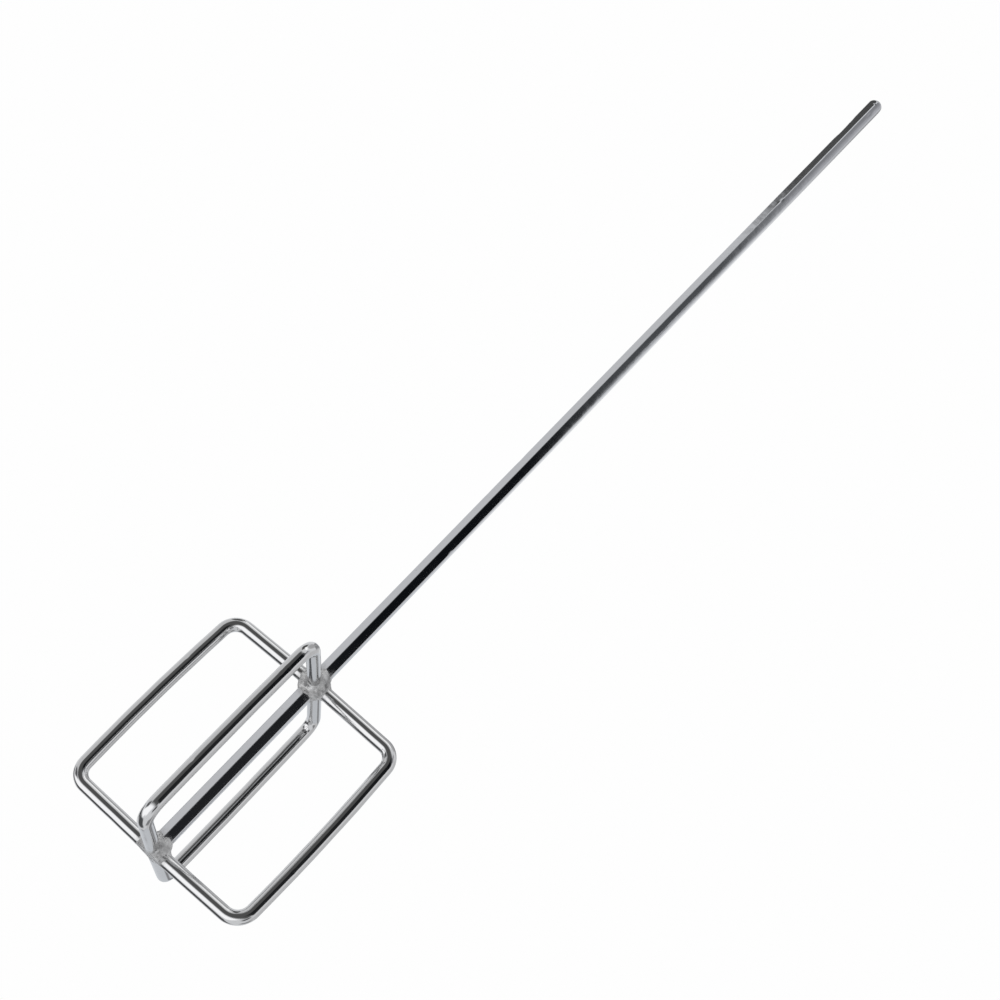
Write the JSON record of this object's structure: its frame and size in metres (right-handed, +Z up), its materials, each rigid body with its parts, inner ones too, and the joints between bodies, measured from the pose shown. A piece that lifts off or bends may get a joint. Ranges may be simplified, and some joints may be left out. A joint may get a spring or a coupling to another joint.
{
  "type": "mortar mixing paddle",
  "caption": "Cage mixing paddle for mortar: a straight hexagonal drill shank with crossed rectangular loops of round rod welded to its lower end",
  "frame": {"origin": "on the bar's axis, in the plane that the underside of the lower arms lies in", "axes": "+Z runs up the bar from the cage to the end of the shank; +X and +Y run out along two neighbouring pairs of arms"},
  "size_m": [0.1332, 0.1332, 0.712],
  "materials": {
    "plated_bar": "bright-plated drawn steel bar, smooth, with fine drawing lines and a few nicks",
    "plated_rod": "bright-plated round steel rod, smooth, softly polished",
    "weld_metal": "plated weld metal, grey, lumpy and duller than the rods"
  },
  "bodies": {
    "root": {"shaft": "plated_bar", "bow_right": "plated_rod", "bow_back": "plated_rod", "bow_left": "plated_rod", "bow_front": "plated_rod", "weld_lower_back_right": "weld_metal", "weld_lower_back_left": "weld_metal", "weld_lower_front_left": "weld_metal", "weld_lower_front_right": "weld_metal", "weld_upper_back_right": "weld_metal", "weld_upper_back_left": "weld_metal", "weld_upper_front_left": "weld_metal", "weld_upper_front_right": "weld_metal"}
  },
  "joints": []
}
